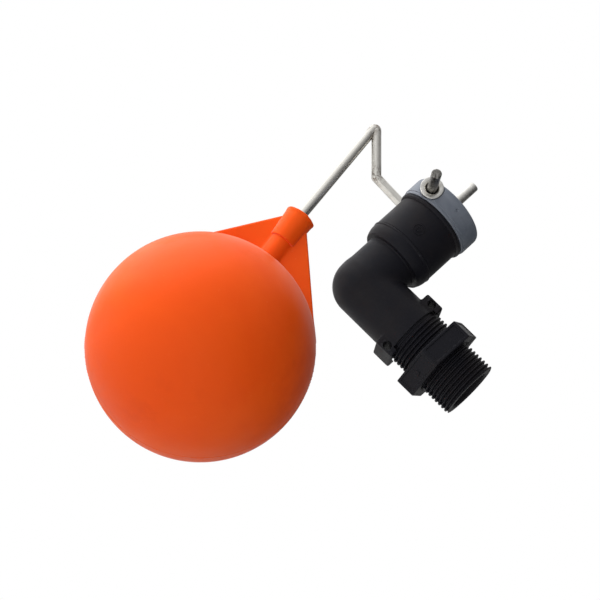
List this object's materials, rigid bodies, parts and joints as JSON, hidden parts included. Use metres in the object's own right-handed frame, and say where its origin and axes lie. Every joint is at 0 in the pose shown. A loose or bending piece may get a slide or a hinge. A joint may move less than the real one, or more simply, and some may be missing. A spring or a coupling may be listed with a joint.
{
  "type": "float valve",
  "caption": "Float valve: threaded elbow inlet with locknut, piston barrel, open head with cross shaft, bent rod arm and hollow ball float.",
  "frame": {"origin": "on the upper lug's seating face, the face that bears on the tank wall, 18 mm straight above the inlet thread's axis", "axes": "+X along the inlet thread, out through the tank wall; +Z along the barrel, from the elbow to the open head; the arm and float are on the +Y side and the short free end of the cross shaft points to -Y"},
  "size_m": [0.181, 0.1315, 0.225],
  "materials": {
    "black_nylon": "satin moulded nylon",
    "grey_nylon": "satin moulded nylon",
    "orange_polyethylene": "satin blow-moulded polyethylene",
    "white_acetal": "satin",
    "black_rubber": "matt",
    "stainless": "drawn and lightly brushed",
    "brass": "turned"
  },
  "bodies": {
    "housing": {"valve_body": "black_nylon", "barrel": "black_nylon", "body_oring": "black_rubber", "nozzle_seat": "white_acetal", "nozzle_oring": "black_rubber", "stem_guide": "white_acetal", "head_ring": "grey_nylon", "near_bush": "stainless", "far_bush": "stainless"},
    "arm": {"float_arm": "stainless", "arm_finger": "white_acetal", "finger_screw": "stainless", "float_ball": "orange_polyethylene", "float_insert": "brass"},
    "plunger": {"piston_stem": "stainless", "piston": "white_acetal", "seat_disc": "black_rubber", "disc_washer": "stainless", "disc_nut": "stainless", "cross_pin": "stainless"},
    "nut": {"locknut": "black_nylon"}
  },
  "joints": [
    {"name": "arm_swing", "type": "hinge", "parent": "housing", "child": "arm", "pos_m": [-0.0491, 0, 0.0408], "axis": [0, 1, 0], "range_deg": [0, 45]},
    {"name": "piston_slide", "type": "slide", "parent": "housing", "child": "plunger", "axis": [0, 0, -1], "range_m": [0, 0.00854]},
    {"name": "locknut_travel", "type": "slide", "parent": "housing", "child": "nut", "axis": [1, 0, 0], "range_m": [-0.0079, 0.014]}
  ],
  "couplings": [
    {"joint": "piston_slide", "follows": "arm_swing", "m_per_rad": 0.01086}
  ]
}
